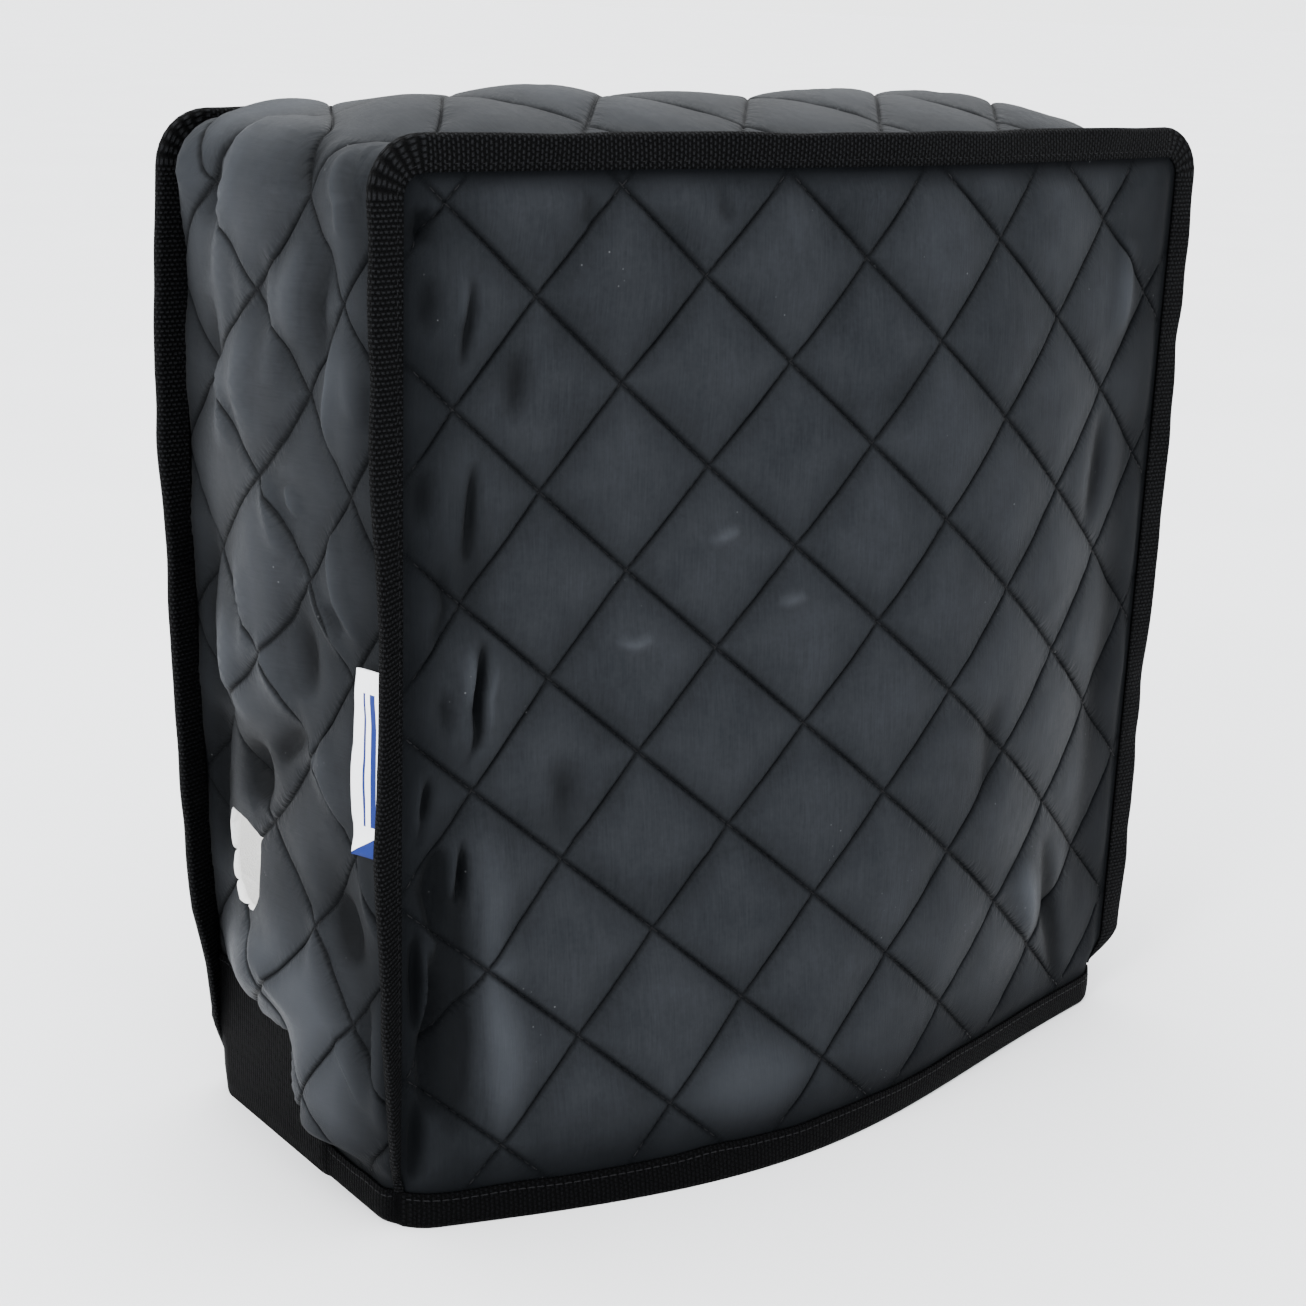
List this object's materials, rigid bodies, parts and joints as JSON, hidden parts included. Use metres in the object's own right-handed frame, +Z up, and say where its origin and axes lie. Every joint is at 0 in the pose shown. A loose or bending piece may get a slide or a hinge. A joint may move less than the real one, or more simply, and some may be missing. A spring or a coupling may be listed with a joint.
{
  "type": "sleep apnea machine cover",
  "caption": "Hollow box-shaped quilted cover, open below, with bound outstanding seams, a taped hem and a hose hole in its side.",
  "frame": {"origin": "on the floor plane, under the middle of the whole cover's box", "axes": "+Z up, -Y out of the bowed front panel, +X to the right seen from the front"},
  "size_m": [0.3578, 0.1698, 0.3521],
  "materials": {
    "front_cloth": "charcoal polyester, quilted in diamonds, soft satin sheen",
    "back_cloth": "charcoal polyester, quilted in diamonds, soft satin sheen",
    "gusset_cloth": "charcoal polyester, quilted in diamonds, soft satin sheen",
    "front_tape": "black ribbed polyester tape, matt",
    "back_tape": "black ribbed polyester tape, matt",
    "hem_tape": "black ribbed polyester tape, matt",
    "label_cloth": "white satin label, folded, with plain blue stripes"
  },
  "bodies": {
    "root": {"front_panel": "front_cloth", "back_panel": "back_cloth", "gusset": "gusset_cloth", "front_binding": "front_tape", "back_binding": "back_tape", "hem_binding": "hem_tape", "side_label": "label_cloth"}
  },
  "joints": []
}
